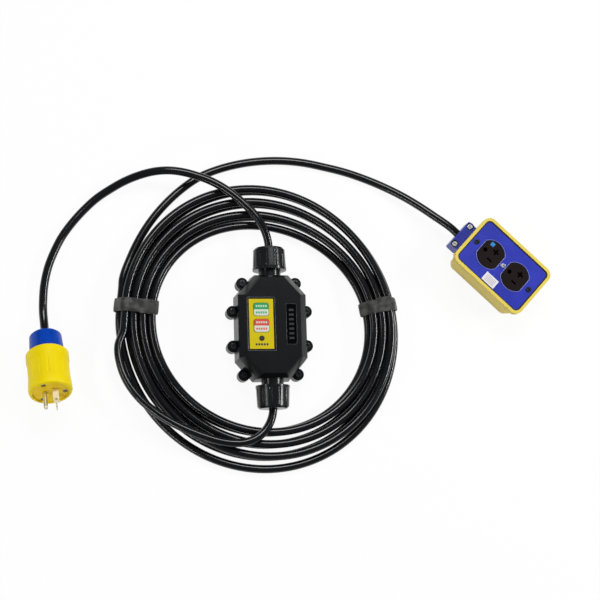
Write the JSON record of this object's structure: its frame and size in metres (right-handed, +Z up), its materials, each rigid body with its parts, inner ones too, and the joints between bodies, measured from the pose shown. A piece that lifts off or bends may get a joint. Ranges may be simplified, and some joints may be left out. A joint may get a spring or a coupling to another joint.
{
  "type": "shore power cord",
  "caption": "Coiled three-core extension cord with an in-line ground-fault unit, a round blade plug on a short lead, two straps and a duplex outlet box at its far end.",
  "frame": {"origin": "on the surface it lies on, under the middle of the in-line ground-fault unit", "axes": "+Y along the unit towards the plug lead, +X towards the outlet box, +Z up"},
  "size_m": [0.612, 0.3744, 0.069],
  "materials": {
    "black_case": "moulded",
    "black_nut": "satin",
    "seal_rubber": "matt",
    "cord_jacket": "satin",
    "strap": "woven",
    "label_yellow": "satin",
    "button_green": "satin",
    "button_red": "satin",
    "lens": "clear",
    "dark_trim": "matt",
    "board": "satin",
    "terminal_green": "satin",
    "carriage": "matt",
    "bright_steel": "bright zinc",
    "black_screw": "blackened",
    "brass": "plain",
    "plug_yellow": "moulded",
    "face_yellow": "satin",
    "nut_blue": "moulded",
    "box_yellow": "satin",
    "royal_blue": "moulded",
    "dark_brown": "satin",
    "label_white": "paper",
    "mark_blue": "paint"
  },
  "bodies": {
    "cord_set": {"unit_rear_shell": "black_case", "unit_front_shell": "black_case", "unit_gasket": "seal_rubber", "unit_case_screws": "bright_steel", "label_plate": "label_yellow", "reset_spring": "bright_steel", "test_spring": "bright_steel", "led_lens": "lens", "led_bezel": "dark_trim", "circuit_board": "board", "board_screws": "bright_steel", "button_switches": "dark_trim", "current_sensor": "dark_trim", "trip_solenoid": "brass", "line_terminals": "terminal_green", "load_terminals": "terminal_green", "north_gland_body": "black_nut", "north_gland_nut": "black_nut", "north_gland_seal": "seal_rubber", "south_gland_body": "black_nut", "south_gland_nut": "black_nut", "south_gland_seal": "seal_rubber", "plug_shell": "plug_yellow", "plug_face": "face_yellow", "plug_clamp_nut": "nut_blue", "plug_grommet": "seal_rubber", "hot_blade": "brass", "neutral_blade": "brass", "ground_pin": "brass", "plug_face_screws": "bright_steel", "plug_terminals": "bright_steel", "box_body": "box_yellow", "box_cover": "royal_blue", "box_gasket": "seal_rubber", "receptacle_face": "dark_brown", "receptacle_base": "dark_brown", "receptacle_yoke": "bright_steel", "hot_contacts": "brass", "neutral_contacts": "bright_steel", "ground_contacts": "brass", "end_screws": "black_screw", "centre_screw": "bright_steel", "box_label": "label_white", "outlet_mark": "mark_blue", "strain_relief_base": "royal_blue", "strain_relief_cap": "royal_blue", "strain_relief_screws": "bright_steel", "box_grommet": "seal_rubber", "lead_cord": "cord_jacket", "feed_cord": "cord_jacket", "coiled_cord": "cord_jacket", "tail_cord": "cord_jacket", "left_strap": "strap", "right_strap": "strap"},
    "reset_button": {"reset_button": "button_green"},
    "test_button": {"test_button": "button_red"},
    "trip_plunger": {"trip_plunger": "bright_steel"},
    "contact_carriage": {"contact_carriage": "carriage"}
  },
  "joints": [
    {"name": "reset_press", "type": "slide", "parent": "cord_set", "child": "reset_button", "axis": [0, 0, -1], "range_m": [0, 0.002], "stiffness_N_per_m": 900, "springref_m": -0.002, "deforming": ["reset_spring"]},
    {"name": "test_press", "type": "slide", "parent": "cord_set", "child": "test_button", "axis": [0, 0, -1], "range_m": [0, 0.0016], "stiffness_N_per_m": 900, "springref_m": -0.002, "deforming": ["test_spring"]},
    {"name": "trip_plunger_slide", "type": "slide", "parent": "cord_set", "child": "trip_plunger", "axis": [1, 0, 0], "range_m": [0, 0.0017]},
    {"name": "contact_carriage_drop", "type": "slide", "parent": "cord_set", "child": "contact_carriage", "axis": [0, 0, -1], "range_m": [0, 0.0025], "stiffness_N_per_m": 600, "springref_m": -0.003}
  ]
}
